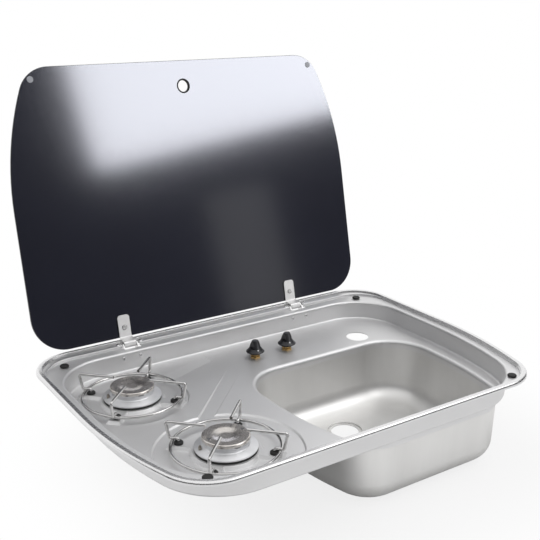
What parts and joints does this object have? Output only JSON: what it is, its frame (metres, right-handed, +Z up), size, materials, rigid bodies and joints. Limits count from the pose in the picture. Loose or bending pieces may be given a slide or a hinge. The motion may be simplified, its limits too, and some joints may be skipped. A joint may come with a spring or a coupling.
{
  "type": "hob and sink combo",
  "caption": "Drop-in stainless hob and sink with pressed rim, deep bowl, gas burners with wire pan supports, control knobs and a smoked glass folding lid.",
  "frame": {"origin": "middle of the worktop cut-out, in the plane of the worktop that the rim rests on", "axes": "+X to the user's right along the front edge, +Y to the back, +Z up"},
  "size_m": [0.6, 0.5094, 0.5176],
  "materials": {
    "tray_steel": "satin pressed stainless sheet",
    "bowl_steel": "satin drawn stainless sheet",
    "smoked_glass": "dark smoked satin glass",
    "clear_plastic": "clear soft plastic",
    "hinge_steel": "bright stainless strip",
    "fixing_steel": "bright fixings",
    "black_rubber": "black rubber",
    "cast_aluminium": "matt cast aluminium",
    "cap_steel": "warm polished stainless",
    "chrome_wire": "chromed wire",
    "brass": "plain brass",
    "spindle_steel": "turned steel",
    "couple_steel": "heat-tinted steel",
    "pipe_steel": "zinc-plated steel tube",
    "black_plastic": "black moulded plastic"
  },
  "bodies": {
    "tray": {"hob_tray": "tray_steel", "sink_bowl": "bowl_steel", "hinge_rivets": "fixing_steel", "gas_rail": "pipe_steel", "feed_pipe_rear": "pipe_steel", "feed_pipe_front": "pipe_steel", "burner_seal_rear": "black_rubber", "burner_base_rear": "cast_aluminium", "burner_head_rear": "cast_aluminium", "burner_cap_rear": "cap_steel", "burner_screws_rear": "fixing_steel", "burner_cup_rear": "cast_aluminium", "injector_rear": "brass", "thermocouple_rear": "couple_steel", "support_grommets_rear": "black_rubber", "burner_seal_front": "black_rubber", "burner_base_front": "cast_aluminium", "burner_head_front": "cast_aluminium", "burner_cap_front": "cap_steel", "burner_screws_front": "fixing_steel", "burner_cup_front": "cast_aluminium", "injector_front": "brass", "thermocouple_front": "couple_steel", "support_grommets_front": "black_rubber", "tap_body_left": "brass", "tap_nut_left": "brass", "magnet_unit_left": "spindle_steel", "hinge_bracket_left": "hinge_steel", "hinge_pin_left": "fixing_steel", "lid_bumper_back_left": "black_rubber", "lid_bumper_front_left": "black_rubber", "tap_body_right": "brass", "tap_nut_right": "brass", "magnet_unit_right": "spindle_steel", "hinge_bracket_right": "hinge_steel", "hinge_pin_right": "fixing_steel", "lid_bumper_back_right": "black_rubber", "lid_bumper_front_right": "black_rubber"},
    "lid": {"glass_lid": "smoked_glass", "lid_pads": "clear_plastic", "hinge_strap_left": "hinge_steel", "strap_gasket_left": "black_rubber", "strap_screw_left": "fixing_steel", "strap_nut_left": "fixing_steel", "hinge_strap_right": "hinge_steel", "strap_gasket_right": "black_rubber", "strap_screw_right": "fixing_steel", "strap_nut_right": "fixing_steel"},
    "plug_left": {"tap_plug_left": "brass"},
    "knob_left": {"knob_left": "black_plastic", "tap_spindle_left": "spindle_steel"},
    "plug_right": {"tap_plug_right": "brass"},
    "knob_right": {"knob_right": "black_plastic", "tap_spindle_right": "spindle_steel"},
    "pan_support_rear": {"pan_support_rear": "chrome_wire"},
    "pan_support_front": {"pan_support_front": "chrome_wire"}
  },
  "joints": [
    {"name": "lid_hinge", "type": "hinge", "parent": "tray", "child": "lid", "pos_m": [0, 0.2049, -0.0015], "axis": [1, 0, 0], "range_deg": [0, 101.95]},
    {"name": "tap_turn_left", "type": "hinge", "parent": "tray", "child": "plug_left", "pos_m": [0.017, 0.1135, -0.029], "axis": [0, 0, 1], "range_deg": [0, 210]},
    {"name": "knob_push_left", "type": "slide", "parent": "plug_left", "child": "knob_left", "axis": [0, 0, -1], "range_m": [0, 0.0036], "stiffness_N_per_m": 800},
    {"name": "tap_turn_right", "type": "hinge", "parent": "tray", "child": "plug_right", "pos_m": [0.074, 0.1135, -0.029], "axis": [0, 0, 1], "range_deg": [0, 210]},
    {"name": "knob_push_right", "type": "slide", "parent": "plug_right", "child": "knob_right", "axis": [0, 0, -1], "range_m": [0, 0.0036], "stiffness_N_per_m": 800},
    {"name": "support_lift_rear", "type": "slide", "parent": "tray", "child": "pan_support_rear", "axis": [0, 0, 1], "range_m": [0, 0.06]},
    {"name": "support_lift_front", "type": "slide", "parent": "tray", "child": "pan_support_front", "axis": [0, 0, 1], "range_m": [0, 0.06]}
  ]
}
